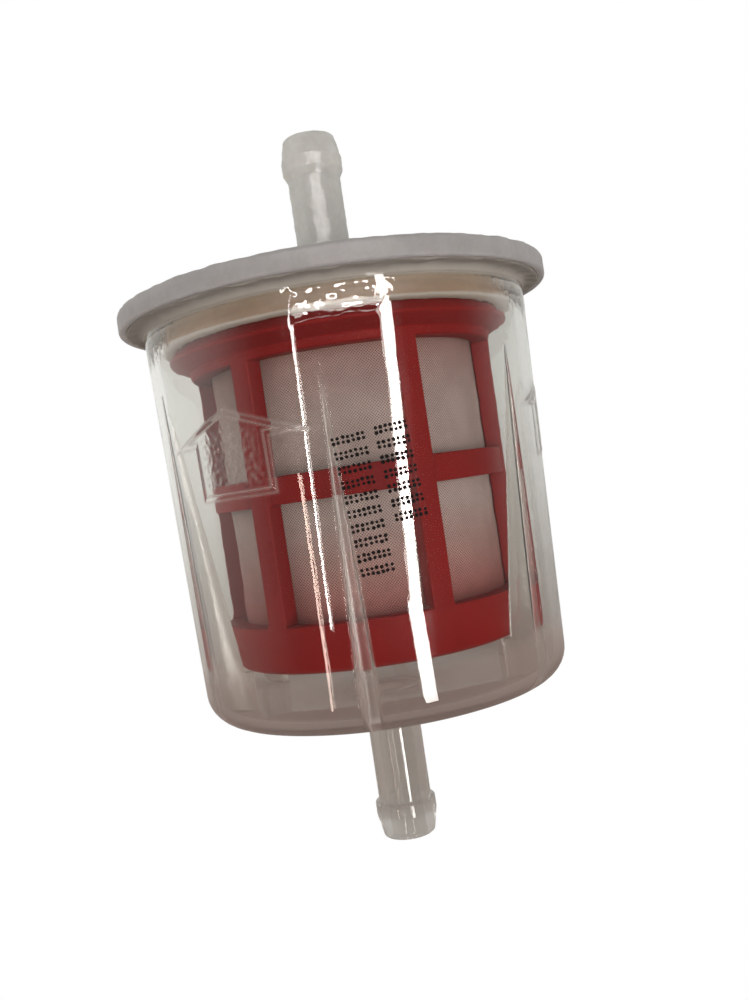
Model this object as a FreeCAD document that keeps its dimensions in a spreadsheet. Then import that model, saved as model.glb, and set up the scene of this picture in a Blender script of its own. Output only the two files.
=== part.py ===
import FreeCAD, Part
import os

import Sketcher

# A sealed in-line fuel filter: a clear bowl with an inlet hose tail, a milky lid with an outlet
# hose tail welded to the bowl's mouth, and between them a strainer cage with a woven sleeve.
# The origin is the centre of the inlet tail's end face and +Z points towards the outlet tail.
# Azimuths are in degrees from -Y, and grow towards +X.

SIZES = {
    # hose tails, the same at both ends: 8 mm neck, barb, and taper to the end face
    "neck_radius": 4.0,
    "barb_radius": 4.6,
    "end_radius": 3.8,
    "bore_radius": 2.6,
    "taper_length": 3.4,
    "land_length": 1.8,
    "inlet_shoulder": 0.5,
    "outlet_shoulder": 1.2,
    "overall_length": 107.4,
    "root_fillet": 0.8,
    # bowl, a thin wall with draft that opens towards the lid
    "mouth_radius": 28.77,
    "wall": 1.5,
    "wall_draft": 1.5,
    "base_height": 22.0,
    "base_drop": 0.8,
    "floor_thickness": 1.7,
    "corner_radius": 4.5,
    "inner_corner_radius": 2.8,
    "flange_radius": 31.1,
    "flange_bottom": 80.4,
    "weld_height": 81.9,
    # six blades inside the bowl that centre the strainer and carry its cup
    "blade_count": 6,
    "blade_azimuth": -6,
    "blade_top": 70,
    "blade_tip_width": 0.25,
    "blade_tip_depth": 0.15,
    "blade_width": 1.8,
    "blade_edge_radius": 22.0,
    "seat_edge_radius": 20.8,
    "blade_root": 0.6,
    # three raised flow arrows on the bowl's wall, pointing at the lid
    "arrow_count": 3,
    "arrow_azimuth": -34.5,
    "arrow_tip": 66.1,
    "arrow_neck": 61.8,
    "arrow_foot": 54.5,
    "arrow_half_span": 11.5,
    "arrow_half_shaft": 6.35,
    "arrow_relief": 0.32,
    # lid: a cap whose lip laps the bowl's flange, with a skirt inside the bowl's mouth
    "rim_radius": 32.2,
    "rim_top": 83.4,
    "rim_bottom": 80.5,
    "rim_fillet": 0.7,
    "lip_inner_radius": 31.25,
    "skirt_radius": 27.0,
    "skirt_bore": 24.6,
    "skirt_bottom": 76.8,
    "boss_radius": 6.5,
    "boss_height": 1.2,
    "crown_rise": 1.0,
    # strainer cage: a closed cup, a middle hoop, a top ring with a seating cone, and bars
    "cup_bottom": 29.7,
    "cup_top": 36.4,
    "cup_base_radius": 21.9,
    "cup_lip_radius": 22.7,
    "cup_corner": 1.2,
    "cup_floor": 1.5,
    "cage_radius": 22.0,
    "bar_radius": 22.5,
    "bar_width": 3.1,
    "bar_count": 6,
    "bar_azimuth": -37,
    "bar_root": 0.5,
    "hoop_bottom": 52.8,
    "hoop_top": 56.6,
    "window_top": 72.5,
    "neck_ring_radius": 22.8,
    "ring_neck_height": 73.7,
    "lip_height": 75.0,
    "lip_radius": 25.7,
    "lip_edge": 0.4,
    "cone_top": 78.8,
    "cone_top_radius": 22.9,
    "cage_bore": 19.9,
    # woven sleeve, just inside the cage
    "sleeve_gap": 0.05,
    "sleeve_thickness": 0.3,
    "sleeve_bottom": 32.0,
    "sleeve_top": 76.5,
}

doc = FreeCAD.newDocument("fuel_filter")


def make_sheet():
    """Writes the driving sizes into the sheet, one named row each."""
    sizes = doc.addObject("Spreadsheet::Sheet", "Sizes")
    for row, (word, size) in enumerate(SIZES.items(), start=1):
        sizes.set(f"A{row}", word)
        sizes.set(f"B{row}", str(size))
        sizes.setAlias(f"B{row}", word)
    doc.recompute()
    return sizes


sheet = make_sheet()


def formula(words):
    """A sheet formula with every size named in full, so 'wall * 2' reads Sizes.wall * 2."""
    return " ".join(f"Sizes.{word}" if word in SIZES else word for word in words.split(" "))


def worth(words):
    """The number that a sheet formula gives now."""
    return float(sheet.evalExpression(formula(words)))


def new_body(label):
    """An empty body whose label names the piece."""
    body = doc.addObject("PartDesign::Body", label)
    body.Label = label
    return body


def origin_part(body, role):
    """One of the body's own origin planes or axes."""
    return next(item for item in body.Origin.OriginFeatures if item.Role == role)


def new_sketch(body, name, plane):
    """An empty sketch lying on one of the body's origin planes."""
    sketch = body.newObject("Sketcher::SketchObject", name)
    sketch.AttachmentSupport = (origin_part(body, plane), "")
    sketch.MapMode = "FlatFace"
    return sketch


def place_corner(sketch, side, axis, words):
    """Ties one coordinate of a side's first point to a sheet formula."""
    across, centre_line = ("DistanceX", -2) if axis == "x" else ("DistanceY", -1)
    size = worth(words)
    if size == 0:
        sketch.addConstraint(Sketcher.Constraint("PointOnObject", side, 1, centre_line))
        return
    index = sketch.addConstraint(Sketcher.Constraint(across, -1, 1, side, 1, size))
    sketch.setExpression(f"Constraints[{index}]", formula(words))


def draw_loop(sketch, corners):
    """Adds a closed loop of straight sides; each corner is a pair of sheet formulas."""
    first = sketch.GeometryCount
    spots = [FreeCAD.Vector(worth(x), worth(y), 0) for x, y in corners]
    for start, end in zip(spots, spots[1:] + spots[:1]):
        sketch.addGeometry(Part.LineSegment(start, end), False)
    for step in range(len(corners)):
        side = first + step
        following = first + (step + 1) % len(corners)
        sketch.addConstraint(Sketcher.Constraint("Coincident", side, 2, following, 1))
    for step, (x, y) in enumerate(corners):
        place_corner(sketch, first + step, "x", x)
        place_corner(sketch, first + step, "y", y)


def turn(body, kind, name, corners):
    """Revolves a closed section about +Z, adding (Revolution) or cutting (Groove)."""
    sketch = new_sketch(body, name + "_section", "XZ_Plane")
    draw_loop(sketch, corners)
    feature = body.newObject("PartDesign::" + kind, name)
    feature.Profile = sketch
    feature.ReferenceAxis = (sketch, ["V_Axis"])
    feature.Angle = 360
    doc.recompute()
    return feature


def round_edges(body, base, name, size, rings):
    """Fillets the circular edges of base at each (radius, height) pair of formulas."""
    wanted = [(worth(radius), worth(height)) for radius, height in rings]
    tolerance = 0.02
    edges = []
    for number, edge in enumerate(base.Shape.Edges, start=1):
        if not isinstance(edge.Curve, Part.Circle):
            continue
        radius, height = edge.Curve.Radius, edge.Curve.Center.z
        if any(abs(radius - r) < tolerance and abs(height - z) < tolerance for r, z in wanted):
            edges.append(f"Edge{number}")
    if len(edges) != len(rings):
        raise ValueError(f"{name} found {len(edges)} edges for {len(rings)} rings")
    fillet = body.newObject("PartDesign::Fillet", name)
    fillet.Base = (base, edges)
    fillet.setExpression("Radius", formula(size))
    doc.recompute()
    return fillet


def repeat(body, name, features, count):
    """Copies features evenly round +Z."""
    pattern = body.newObject("PartDesign::PolarPattern", name)
    pattern.Originals = features
    pattern.Axis = (origin_part(body, "Z_Axis"), [""])
    pattern.Angle = 360
    pattern.setExpression("Occurrences", formula(count))
    body.Tip = pattern
    doc.recompute()


def drill_bore(body, top):
    """Cuts the round flow passage from z = 0 up to a height."""
    sketch = new_sketch(body, "inlet_bore_circle", "XY_Plane")
    sketch.addGeometry(Part.Circle(FreeCAD.Vector(), FreeCAD.Vector(0, 0, 1), 1), False)
    sketch.addConstraint(Sketcher.Constraint("Coincident", 0, 3, -1, 1))
    index = sketch.addConstraint(Sketcher.Constraint("Radius", 0, worth("bore_radius")))
    sketch.setExpression(f"Constraints[{index}]", formula("bore_radius"))
    pocket = body.newObject("PartDesign::Pocket", "inlet_bore")
    pocket.Profile = sketch
    pocket.Type = "Length"
    pocket.setExpression("Length", formula(top))
    pocket.Reversed = True
    body.Tip = pocket
    doc.recompute()


def wall_radius(height, inset="0"):
    """Formula for the bowl's outer radius at a height, less an inset."""
    return f"mouth_radius - ( flange_bottom - {height} ) * tan( wall_draft * 1 deg ) - ( {inset} )"


def section_across(body, name, height, inner, outer, width):
    """A rectangle on the blade's azimuth at a height, from an inner to an outer radius."""
    sketch = new_sketch(body, name, "XY_Plane")
    sketch.AttachmentOffset = FreeCAD.Placement(
        FreeCAD.Vector(0, 0, worth(height)),
        FreeCAD.Rotation(FreeCAD.Vector(0, 0, 1), worth("blade_azimuth")),
    )
    sketch.setExpression("AttachmentOffset.Base.z", formula(height))
    sketch.setExpression("AttachmentOffset.Rotation.Angle", formula("blade_azimuth * 1 deg"))
    half = f"{width} / 2"
    inner_y, outer_y = f"0 - ( {inner} )", f"0 - ( {outer} )"
    draw_loop(
        sketch,
        [(f"0 - {half}", outer_y), (half, outer_y), (half, inner_y), (f"0 - {half}", inner_y)],
    )
    return sketch


def add_loft(body, name, lower, upper):
    """Joins two sections with straight sides."""
    loft = body.newObject("PartDesign::AdditiveLoft", name)
    loft.Profile = lower
    loft.Sections = [upper]
    loft.Ruled = True
    body.Tip = loft
    doc.recompute()
    return loft


def add_blades(body):
    """Blades that grow from a point near the mouth, with a seat under the strainer's cup."""
    tip = section_across(
        body,
        "blade_tip",
        "blade_top",
        wall_radius("blade_top", "wall + blade_tip_depth"),
        wall_radius("blade_top", "wall - blade_root"),
        "blade_tip_width",
    )
    shelf = section_across(
        body,
        "blade_foot",
        "cup_bottom",
        "blade_edge_radius",
        wall_radius("cup_bottom", "wall - blade_root"),
        "blade_width",
    )
    blade = add_loft(body, "blade", shelf, tip)
    seat_top = section_across(
        body,
        "seat_top",
        "cup_bottom",
        "seat_edge_radius",
        wall_radius("cup_bottom", "wall - blade_root"),
        "blade_width",
    )
    seat_bottom = section_across(
        body,
        "seat_bottom",
        "base_height + floor_thickness / 2",
        "seat_edge_radius",
        wall_radius("base_height", "wall + inner_corner_radius / 2"),
        "blade_width",
    )
    seat = add_loft(body, "seat", seat_bottom, seat_top)
    repeat(body, "blades", [blade, seat], "blade_count")


def add_arrows(body):
    """Raised arrows: prisms from the axis outwards, then a groove that trims their faces."""
    sketch = new_sketch(body, "arrow_outline", "XZ_Plane")
    sketch.AttachmentOffset = FreeCAD.Placement(
        FreeCAD.Vector(), FreeCAD.Rotation(FreeCAD.Vector(0, 1, 0), worth("arrow_azimuth"))
    )
    sketch.setExpression("AttachmentOffset.Rotation.Angle", formula("arrow_azimuth * 1 deg"))
    draw_loop(
        sketch,
        [
            ("0", "arrow_tip"),
            ("0 - arrow_half_span", "arrow_neck"),
            ("0 - arrow_half_shaft", "arrow_neck"),
            ("0 - arrow_half_shaft", "arrow_foot"),
            ("arrow_half_shaft", "arrow_foot"),
            ("arrow_half_shaft", "arrow_neck"),
            ("arrow_half_span", "arrow_neck"),
        ],
    )
    pad = body.newObject("PartDesign::Pad", "arrow")
    pad.Profile = sketch
    pad.Type = "Length"
    pad.setExpression("Length", formula("mouth_radius + arrow_relief"))
    body.Tip = pad
    doc.recompute()
    repeat(body, "arrows", [pad], "arrow_count")
    low, high = "arrow_foot - arrow_relief", "arrow_tip + arrow_relief"
    skin = "0 - arrow_relief"
    turn(
        body,
        "Groove",
        "arrow_skin",
        [
            (wall_radius(f"( {low} )", skin), low),
            ("rim_radius", low),
            ("rim_radius", high),
            (wall_radius(f"( {high} )", skin), high),
        ],
    )


def make_bowl():
    """Clear bowl: inlet tail, drafted wall, mouth flange, arrows, cavity and blades."""
    body = new_body("bowl")
    corner = wall_radius("base_height")
    barb_foot = "taper_length + land_length"
    neck_foot = f"{barb_foot} + inlet_shoulder"
    outside = turn(
        body,
        "Revolution",
        "bowl_outside",
        [
            ("0", "0"),
            ("end_radius", "0"),
            ("barb_radius", "taper_length"),
            ("barb_radius", barb_foot),
            ("neck_radius", neck_foot),
            ("neck_radius", "base_height - base_drop"),
            (corner, "base_height"),
            ("mouth_radius", "flange_bottom"),
            ("flange_radius", "flange_bottom"),
            ("flange_radius", "weld_height"),
            ("0", "weld_height"),
        ],
    )
    body.Tip = outside
    rounded = round_edges(body, outside, "base_corner", "corner_radius", [(corner, "base_height")])
    rounded = round_edges(
        body,
        rounded,
        "tail_and_flange_roots",
        "root_fillet",
        [("neck_radius", "base_height - base_drop"), ("mouth_radius", "flange_bottom")],
    )
    body.Tip = rounded
    add_arrows(body)
    inner_floor = "base_height + floor_thickness"
    inner_corner = wall_radius(f"( {inner_floor} )", "wall")
    cavity = turn(
        body,
        "Groove",
        "cavity",
        [
            ("0", f"{inner_floor} - base_drop"),
            (inner_corner, inner_floor),
            (wall_radius("weld_height", "wall"), "weld_height"),
            ("0", "weld_height"),
        ],
    )
    body.Tip = cavity
    hollow = round_edges(
        body, cavity, "cavity_corner", "inner_corner_radius", [(inner_corner, inner_floor)]
    )
    body.Tip = hollow
    drill_bore(body, inner_floor)
    add_blades(body)
    return body


def make_lid():
    """Milky lid: crowned plate, lip over the flange, skirt in the mouth, outlet tail."""
    body = new_body("lid")
    barb_top = "overall_length - taper_length"
    barb_foot = f"{barb_top} - land_length"
    shape = turn(
        body,
        "Revolution",
        "lid_section",
        [
            ("bore_radius", "weld_height"),
            ("skirt_bore", "weld_height"),
            ("skirt_bore", "skirt_bottom"),
            ("skirt_radius", "skirt_bottom"),
            ("skirt_radius", "weld_height"),
            ("lip_inner_radius", "weld_height"),
            ("lip_inner_radius", "rim_bottom"),
            ("rim_radius", "rim_bottom"),
            ("rim_radius", "rim_top"),
            ("boss_radius", "rim_top + crown_rise"),
            ("boss_radius", "rim_top + crown_rise + boss_height"),
            ("neck_radius", "rim_top + crown_rise + boss_height"),
            ("neck_radius", f"{barb_foot} - outlet_shoulder"),
            ("barb_radius", barb_foot),
            ("barb_radius", barb_top),
            ("end_radius", "overall_length"),
            ("bore_radius", "overall_length"),
        ],
    )
    body.Tip = shape
    smooth = round_edges(body, shape, "rim_edge", "rim_fillet", [("rim_radius", "rim_top")])
    smooth = round_edges(
        body,
        smooth,
        "boss_roots",
        "root_fillet",
        [
            ("boss_radius", "rim_top + crown_rise"),
            ("neck_radius", "rim_top + crown_rise + boss_height"),
        ],
    )
    body.Tip = smooth
    return body


def add_bar(body):
    """One upright bar outside the cage wall, rooted in the cup's rim and in the top ring."""
    sketch = new_sketch(body, "bar_section", "XY_Plane")
    sketch.AttachmentOffset = FreeCAD.Placement(
        FreeCAD.Vector(0, 0, worth("cup_top - bar_root")), FreeCAD.Rotation()
    )
    sketch.setExpression("AttachmentOffset.Base.z", formula("cup_top - bar_root"))
    half = "bar_width / 2"
    middle = "0 - ( cage_radius + cage_bore ) / 2"
    draw_loop(
        sketch,
        [
            (f"0 - {half}", "0 - bar_radius"),
            (half, "0 - bar_radius"),
            (half, middle),
            (f"0 - {half}", middle),
        ],
    )
    pad = body.newObject("PartDesign::Pad", "bar")
    pad.Profile = sketch
    pad.Type = "Length"
    pad.setExpression("Length", formula("window_top - cup_top + bar_root * 2"))
    body.Tip = pad
    doc.recompute()
    repeat(body, "bars", [pad], "bar_count")


def cut_window(body, name, low, high):
    """One window as a wedge, whose sides are the flat flanks of the bars on either side."""
    half_pitch = "180 / bar_count"
    sketch = new_sketch(body, name + "_section", "XY_Plane")
    sketch.AttachmentOffset = FreeCAD.Placement(
        FreeCAD.Vector(0, 0, worth(low)),
        FreeCAD.Rotation(FreeCAD.Vector(0, 0, 1), worth(half_pitch)),
    )
    sketch.setExpression("AttachmentOffset.Base.z", formula(low))
    sketch.setExpression("AttachmentOffset.Rotation.Angle", formula(f"{half_pitch} * 1 deg"))
    point = f"bar_width / 2 / sin( {half_pitch} * 1 deg )"
    half = f"( rim_radius - {point} ) * tan( {half_pitch} * 1 deg )"
    draw_loop(
        sketch,
        [("0", f"0 - {point}"), (f"0 - {half}", "0 - rim_radius"), (half, "0 - rim_radius")],
    )
    pocket = body.newObject("PartDesign::Pocket", name)
    pocket.Profile = sketch
    pocket.Type = "Length"
    pocket.setExpression("Length", formula(f"{high} - {low}"))
    pocket.Reversed = True
    body.Tip = pocket
    doc.recompute()
    repeat(body, name + "s", [pocket], "bar_count")


def make_cage():
    """Strainer cage with its closed cup at the inlet end and its seating cone at the lid."""
    body = new_body("strainer_cage")
    hoop = turn(
        body,
        "Revolution",
        "cage_section",
        [
            ("0", "cup_bottom"),
            ("cup_base_radius", "cup_bottom"),
            ("cup_lip_radius", "cup_top"),
            ("cage_radius", "cup_top"),
            ("cage_radius", "window_top"),
            ("neck_ring_radius", "window_top"),
            ("neck_ring_radius", "ring_neck_height"),
            ("lip_radius", "lip_height"),
            ("lip_radius", "lip_height + lip_edge"),
            ("cone_top_radius", "cone_top"),
            ("cage_bore", "cone_top"),
            ("cage_bore", "cup_bottom + cup_floor"),
            ("0", "cup_bottom + cup_floor"),
        ],
    )
    body.Tip = hoop
    soft = round_edges(
        body, hoop, "cup_edge", "cup_corner", [("cup_base_radius", "cup_bottom")]
    )
    body.Tip = soft
    cut_window(body, "lower_window", "cup_top", "hoop_bottom")
    cut_window(body, "upper_window", "hoop_top", "window_top")
    add_bar(body)
    body.Placement = FreeCAD.Placement(
        FreeCAD.Vector(), FreeCAD.Rotation(FreeCAD.Vector(0, 0, 1), SIZES["bar_azimuth"])
    )
    body.setExpression("Placement.Rotation.Angle", formula("bar_azimuth * 1 deg"))
    doc.recompute()
    return body


def make_sleeve():
    """Woven sleeve, stood for by a thin tube just inside the cage's bore."""
    outer = doc.addObject("Part::Cylinder", "sleeve_outer")
    inner = doc.addObject("Part::Cylinder", "sleeve_inner")
    outer.setExpression("Radius", formula("cage_bore - sleeve_gap"))
    inner.setExpression("Radius", formula("cage_bore - sleeve_gap - sleeve_thickness"))
    for tube in (outer, inner):
        tube.setExpression("Height", formula("sleeve_top - sleeve_bottom"))
    sleeve = doc.addObject("Part::Cut", "strainer_mesh")
    sleeve.Label = "strainer_mesh"
    sleeve.Base = outer
    sleeve.Tool = inner
    sleeve.setExpression("Placement.Base.z", formula("sleeve_bottom"))
    doc.recompute()
    return sleeve


def check(pieces):
    """Stops unless every object computed and every piece is one valid solid."""
    for item in doc.Objects:
        if {"Invalid", "Error"} & set(item.State):
            raise ValueError(f"{item.Label} is {item.State}")
    for piece in pieces:
        shape = piece.Shape
        if shape.isNull() or not shape.isValid() or len(shape.Solids) != 1:
            raise ValueError(f"{piece.Label} is not one valid solid")


def export(pieces):
    """Writes each piece to its own file."""
    os.makedirs("parts", exist_ok=True)
    for piece in pieces:
        piece.Shape.exportStep(os.path.join("parts", piece.Label + ".step"))


pieces = [make_bowl(), make_lid(), make_cage(), make_sleeve()]
check(pieces)
export(pieces)
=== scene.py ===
import math
import random

import bmesh
import bpy
import numpy as np
from mathutils import Matrix, Vector


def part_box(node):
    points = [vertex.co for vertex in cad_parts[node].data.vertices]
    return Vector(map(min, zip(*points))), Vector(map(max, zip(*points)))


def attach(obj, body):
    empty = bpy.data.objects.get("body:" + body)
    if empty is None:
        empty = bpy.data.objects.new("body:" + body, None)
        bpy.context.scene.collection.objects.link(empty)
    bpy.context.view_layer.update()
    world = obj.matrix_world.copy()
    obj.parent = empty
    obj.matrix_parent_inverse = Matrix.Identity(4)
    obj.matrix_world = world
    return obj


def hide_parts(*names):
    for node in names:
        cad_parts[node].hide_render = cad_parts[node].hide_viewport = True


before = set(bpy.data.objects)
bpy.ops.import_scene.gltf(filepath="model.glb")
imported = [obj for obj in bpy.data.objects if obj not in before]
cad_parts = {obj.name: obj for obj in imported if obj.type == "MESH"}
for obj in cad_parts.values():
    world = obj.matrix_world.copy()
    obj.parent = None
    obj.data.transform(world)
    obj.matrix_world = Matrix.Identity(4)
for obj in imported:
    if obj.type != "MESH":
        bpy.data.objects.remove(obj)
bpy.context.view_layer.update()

# Looks of a sealed in-line fuel filter. Lengths are in millimetres unless a comment says metres,
# and angles in degrees. Azimuths run from -Y and grow towards +X, the same as in the CAD model.
MM = 0.001
BODY = "root"


def box_mm(node):
    """Lowest and highest corner of a CAD node, in millimetres."""
    low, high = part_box(node)
    return low / MM, high / MM


bowl_low, bowl_high = box_mm("bowl")
lid_low, lid_high = box_mm("lid")
cage_low, cage_high = box_mm("strainer_cage")
sleeve_low, sleeve_high = box_mm("strainer_mesh")

# driving sizes read from the frame
TAIL_END = bowl_low.z
MOUTH_TOP = bowl_high.z
FLANGE_RADIUS = bowl_high.x
RIM_RADIUS = lid_high.x
SKIRT_BOTTOM = lid_low.z
OUTLET_END = lid_high.z
CUP_BOTTOM = cage_low.z
CONE_TOP = cage_high.z
LIP_RADIUS = cage_high.x
SLEEVE_RADIUS = sleeve_high.x

# hose tails
NECK_RADIUS = 4.0
BARB_RADIUS = 4.6
END_RADIUS = 3.9
BORE_RADIUS = 2.6
TAPER = 3.4
LAND = 1.8

# bowl; the waviness that welding on the lid has left in the wall starts at WELD_LOW
WALL = 1.5
DRAFT = math.tan(math.radians(1.5))
MOUTH_RADIUS = FLANGE_RADIUS - 2.33
FLANGE_BOTTOM = MOUTH_TOP - 1.5
BASE = TAIL_END + 22.0
BASE_DROP = 0.8
FLOOR = BASE + 1.7
CORNER = 4.5
INNER_CORNER = 2.8
SEAM_GAP = 0.05
WELD_LOW = FLANGE_BOTTOM - 7.0

# guide blades inside the bowl; the mesh columns of a blade reach BLADE_FOOT to each side of its
# middle, and the plain wall's columns start BLADE_SPAN degrees from it
BLADES = 6
BLADE_AZIMUTH = -6.0
BLADE_TOP = 70.0
BLADE_WIDTH = 1.8
BLADE_TIP_WIDTH = 0.25
BLADE_EDGE = 22.0
SEAT_EDGE = 20.8
BLADE_FOOT = 1.5
BLADE_SPAN = 3.4

# flow arrows on the bowl, flatter than in the CAD model so that clear plastic shows them true
ARROWS = 3
ARROW_AZIMUTH = -34.5
ARROW_TIP = 66.1
ARROW_NECK = 61.8
ARROW_FOOT = 54.5
ARROW_SPAN = 11.5
ARROW_SHAFT = 6.35
ARROW_RELIEF = 0.12
ARROW_BEVEL = 0.7
ARROW_LINE = 0.21
PEBBLE_RELIEF = 0.004

# strainer cage
CAGE_BORE = SLEEVE_RADIUS + 0.05
HOOP_RADIUS = 22.0
BAR_RADIUS = 22.5
BAR_HALF = 1.55
BARS = 6
BAR_AZIMUTH = -37.0
CUP_FLOOR = CUP_BOTTOM + 1.5
CUP_TOP = CUP_BOTTOM + 6.7
CUP_BASE_RADIUS = 21.9
CUP_LIP_RADIUS = 22.7
CUP_CORNER = 1.2
HOOP_BOTTOM = 52.8
HOOP_TOP = 56.6
WINDOW_TOP = 72.5
RING_RADIUS = 22.8
RING_NECK = 73.7
LIP_HEIGHT = 75.0
LIP_EDGE = 0.4
CONE_RADIUS = 22.9


# ---------------------------------------------------------------- mesh helpers


def around(azimuth, radius, height):
    """The point at an azimuth, radius and height; works on numbers and on arrays."""
    angle = np.radians(azimuth)
    return np.stack(
        np.broadcast_arrays(radius * np.sin(angle), -radius * np.cos(angle), height), axis=-1
    )


def rounded(corners):
    """A path through (radius, height, fillet) corners, with each fillet as an arc."""
    path = []
    for index, (x, y, fillet) in enumerate(corners):
        corner = np.array((x, y), float)
        if fillet == 0:
            path.append(corner)
            continue
        before = np.array(corners[index - 1][:2], float) - corner
        after = np.array(corners[(index + 1) % len(corners)][:2], float) - corner
        before /= np.linalg.norm(before)
        after /= np.linalg.norm(after)
        half = math.acos(float(before @ after)) / 2
        centre = corner + (before + after) / np.linalg.norm(before + after) * fillet / math.sin(half)
        start = corner + before * fillet / math.tan(half) - centre
        end = corner + after * fillet / math.tan(half) - centre
        sweep = math.pi - 2 * half
        steps = max(3, math.ceil(4 * math.sqrt(fillet)))
        for step in range(steps + 1):
            share = step / steps
            path.append(
                centre
                + (start * math.sin((1 - share) * sweep) + end * math.sin(share * sweep))
                / math.sin(sweep)
            )
    return path


def spread(path, step_at, closed=False):
    """Splits a path's long stretches so that no piece is longer than step_at(height)."""
    out = []
    following = path[1:] + (path[:1] if closed else [])
    for start, end in zip(path, following):
        length = float(np.linalg.norm(end - start))
        count = max(1, math.ceil(length / step_at((start[1] + end[1]) / 2)))
        out += [start + (end - start) * k / count for k in range(count)]
    if not closed:
        out.append(path[-1])
    return np.array(out)


def new_piece(name, points, faces, material, smooth_angle=35, frost=None):
    """A mesh object from points in millimetres, smooth apart from its sharp edges.

    Frost, a number per point, is kept on the mesh for its material."""
    mesh = bpy.data.meshes.new(name)
    mesh.from_pydata((np.asarray(points) * MM).tolist(), [], faces)
    if frost is not None:
        layer = mesh.attributes.new("frost", "FLOAT", "POINT")
        layer.data.foreach_set("value", np.asarray(frost, dtype=np.float32))
    work = bmesh.new()
    work.from_mesh(mesh)
    bmesh.ops.remove_doubles(work, verts=work.verts, dist=1e-7)
    bmesh.ops.dissolve_degenerate(work, edges=work.edges, dist=1e-7)
    bmesh.ops.recalc_face_normals(work, faces=work.faces)
    work.to_mesh(mesh)
    work.free()
    mesh.shade_smooth()
    mesh.set_sharp_from_angle(angle=math.radians(smooth_angle))
    piece = bpy.data.objects.new(name, mesh)
    bpy.context.scene.collection.objects.link(piece)
    mesh.materials.append(material)
    return piece


def ring_faces(rows, columns):
    """Quads of a grid that closes on itself both along its columns and round its rows."""
    faces = []
    for row in range(rows):
        below = (row + 1) % rows
        for column in range(columns):
            beside = (column + 1) % columns
            faces.append(
                (
                    row * columns + column,
                    row * columns + beside,
                    below * columns + beside,
                    below * columns + column,
                )
            )
    return faces


def ripple(seed, count, longest, shortest):
    """A smooth random field of two variables, made of count plane waves, within about -1 to 1."""
    chance = random.Random(seed)
    waves = []
    for _ in range(count):
        length = chance.uniform(shortest, longest)
        heading = chance.uniform(0, math.tau)
        turn = chance.uniform(0, math.tau)
        rate = math.tau / length
        waves.append((rate * math.cos(heading), rate * math.sin(heading), turn))

    def field(across, along):
        """The waves' sum at a place."""
        total = sum(np.sin(across * a + along * b + turn) for a, b, turn in waves)
        return total / math.sqrt(count)

    return field


def wrapped(field, azimuth, radius, height):
    """A random field laid round a cylinder, so that it meets itself without a seam."""
    angle = np.radians(azimuth)
    return field(radius * np.sin(angle), height + radius * np.cos(angle))


# ---------------------------------------------------------------- bowl


def wall_radius(height):
    """Outer radius of the bowl's drafted wall."""
    return MOUTH_RADIUS - (FLANGE_BOTTOM - height) * DRAFT


def bowl_columns():
    """Arrays of a number per column round the bowl: azimuth, blade azimuth, side, foot and share.

    Over a blade, side counts the blade's half widths, foot adds millimetres of wall beside it, and
    share is how far the column has come from the wall to the blade's edge. Between blades the blade
    azimuth is not a number."""
    half_section = [
        (1.0, 1.05, 0.0),
        (1.0, 0.55, 0.0),
        (1.0, 0.3, 0.02),
        (1.0, 0.1, 0.07),
        (1.0, 0.0, 0.16),
        (1.0, 0.0, 0.55),
        (0.97, 0.0, 0.9),
        (0.82, 0.0, 0.965),
        (0.5, 0.0, 0.992),
    ]
    left = [(-side, -foot, share) for side, foot, share in half_section]
    section = left + [(0.0, 0.0, 1.0)] + half_section[::-1]
    pitch = 360 / BLADES
    # degrees between the plain columns, with and without an arrow; the outer skin runs smoothly
    # past a blade, so there its columns only have to stay clear of the plain ones
    fine_step, coarse_step = 0.42, 1.6
    outer_half = 0.75 * BLADE_SPAN
    columns = []
    for blade in range(BLADES):
        centre = BLADE_AZIMUTH + pitch * blade
        for place, (side, foot, share) in enumerate(section):
            offset = (2 * place / (len(section) - 1) - 1) * outer_half
            columns.append((centre + offset, centre, side, foot, share))
        has_arrow = blade % 2 == 1
        step = fine_step if has_arrow else coarse_step
        first = centre + BLADE_SPAN
        last = centre + pitch - BLADE_SPAN
        count = math.ceil((last - first) / step)
        for place in range(count + 1):
            columns.append((first + (last - first) * place / count, math.nan, 0.0, 0.0, 0.0))
    return np.array(columns).T


def arrow_depth(across, height):
    """How far inside the arrow's outline a point is, negative outside it."""
    tilt = math.atan2(ARROW_TIP - ARROW_NECK, ARROW_SPAN)
    side = np.abs(across)
    roof = (ARROW_TIP - height) * math.cos(tilt) - side * math.sin(tilt)
    head = np.minimum(roof, height - ARROW_NECK)
    shaft = np.minimum(ARROW_SHAFT - side, np.minimum(height - ARROW_FOOT, roof))
    return np.maximum(head, shaft)


def arrow_relief(azimuth, height):
    """Height of the raised arrows above the wall, and how frosted they are.

    Each edge of the bevel carries a frosted line, and the flat face is pebbled."""
    pebbles = ripple(11, 20, 1.5, 0.7)
    edge_lines = ((0.0, 0.24), (ARROW_BEVEL, 0.30))
    face_inset, face_frost = 1.0, 0.085
    relief = np.zeros(np.broadcast(azimuth, height).shape)
    frost = np.zeros(relief.shape)
    for arrow in range(ARROWS):
        away = (azimuth - ARROW_AZIMUTH - 360 / ARROWS * arrow + 180) % 360 - 180
        across = np.radians(away) * wall_radius(height)
        inside = arrow_depth(across, height)
        relief += ARROW_RELIEF * np.clip(inside / ARROW_BEVEL, 0, 1)
        patch = pebbles(across, height)
        face = np.clip(inside - face_inset, 0, 1) * (np.abs(across) < ARROW_SHAFT + 1)
        relief += PEBBLE_RELIEF * face * patch
        for edge, strength in edge_lines:
            frost += strength * np.exp(-(((inside - edge) / ARROW_LINE) ** 2))
        frost += face_frost * face * (1 + patch)
    return relief, frost


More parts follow.
